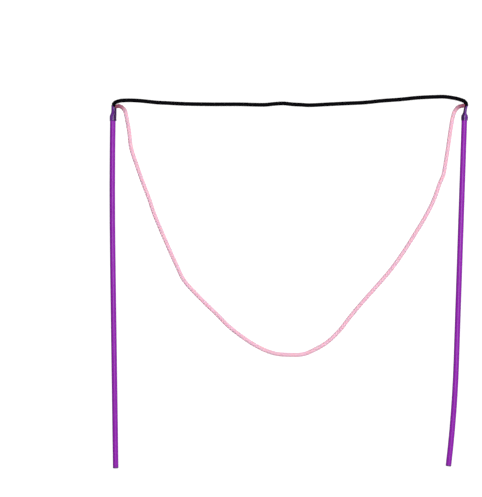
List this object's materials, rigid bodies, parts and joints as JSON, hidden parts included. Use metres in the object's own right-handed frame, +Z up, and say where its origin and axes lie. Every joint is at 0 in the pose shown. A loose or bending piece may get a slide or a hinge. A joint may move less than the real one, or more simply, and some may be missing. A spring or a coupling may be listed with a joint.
{
  "type": "bubble wand",
  "caption": "Bubble wand: plastic handle rods joined at their tips by a short cord and a long hanging cord, which stretch a soap film between them.",
  "frame": {"origin": "on the surface that the wand lies on, under the middle of the box round its two wands, cords left out", "axes": "+X from the left wand's tip to the right wand's, +Y from the handle ends to the tips, +Z up from the surface"},
  "size_m": [0.4063, 0.423, 0.0074],
  "materials": {
    "rod": "glossy",
    "plug": "glossy",
    "sleeve": "satin shrunk tube",
    "black_braid": "fine braid",
    "pink_braid": "soft braid"
  },
  "bodies": {
    "top_cord": {"black_cord": "black_braid"},
    "left_wand": {"left_rod": "rod", "left_tip_sleeve": "sleeve", "left_end_plug": "plug", "left_black_tail": "black_braid", "left_pink_tail": "pink_braid"},
    "right_wand": {"right_rod": "rod", "right_tip_sleeve": "sleeve", "right_end_plug": "plug", "right_black_tail": "black_braid", "right_pink_tail": "pink_braid"},
    "loop_cord": {"pink_cord": "pink_braid"}
  },
  "joints": [
    {"name": "left_wand_swing", "type": "hinge", "parent": "top_cord", "child": "left_wand", "pos_m": [-0.198, 0.2075, 0.0037], "axis": [0, 0, 1], "range_deg": [-90, 10]},
    {"name": "right_wand_swing", "type": "hinge", "parent": "top_cord", "child": "right_wand", "pos_m": [0.201, 0.2075, 0.0037], "axis": [0, 0, 1], "range_deg": [-10, 90]},
    {"name": "loop_swing", "type": "hinge", "parent": "top_cord", "child": "loop_cord", "pos_m": [0, 0.2055, 0.0037], "axis": [1, 0, 0], "range_deg": [-120, 120]}
  ]
}
